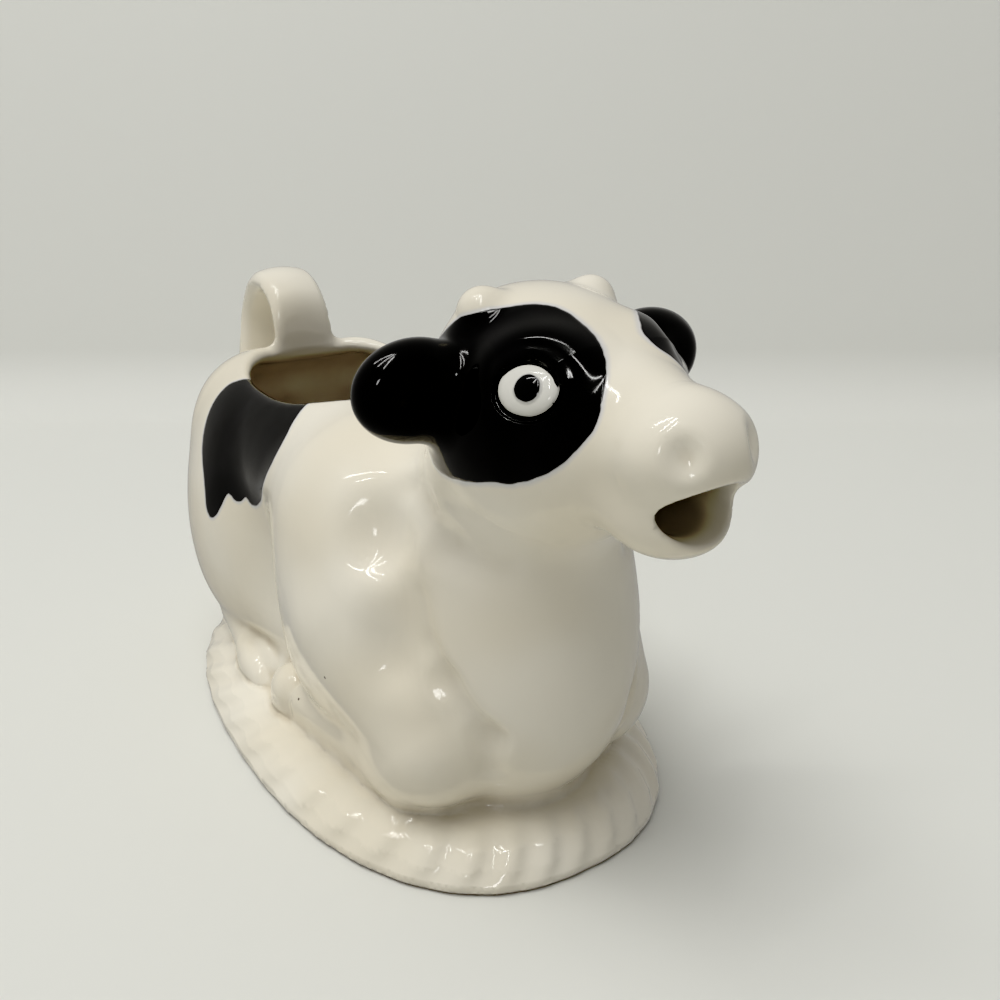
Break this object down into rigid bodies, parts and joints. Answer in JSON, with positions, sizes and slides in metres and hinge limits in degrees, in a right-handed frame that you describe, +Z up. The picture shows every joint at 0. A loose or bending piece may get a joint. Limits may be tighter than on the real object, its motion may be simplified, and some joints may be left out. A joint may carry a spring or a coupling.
{
  "type": "cow creamer",
  "caption": "Glazed ceramic creamer shaped as a cow lying on a fluted oval plinth, filled through its back, poured from its mouth and held by its looped tail",
  "frame": {"origin": "middle of the plinth's underside, on the surface it stands on", "axes": "+X the way the cow faces, +Y the cow's left, +Z up"},
  "size_m": [0.1793, 0.085, 0.1061],
  "materials": {
    "ivory_glaze": "gloss",
    "black_glaze": "gloss",
    "white_glaze": "gloss"
  },
  "bodies": {
    "root": {"base": "ivory_glaze", "body": "ivory_glaze", "head": "ivory_glaze", "handle": "ivory_glaze", "left_ear": "black_glaze", "right_ear": "black_glaze", "left_horn": "ivory_glaze", "right_horn": "ivory_glaze", "left_eye": "white_glaze", "right_eye": "white_glaze", "left_foreleg": "ivory_glaze", "right_foreleg": "ivory_glaze", "left_hind_leg": "ivory_glaze", "right_hind_leg": "ivory_glaze"}
  },
  "joints": []
}
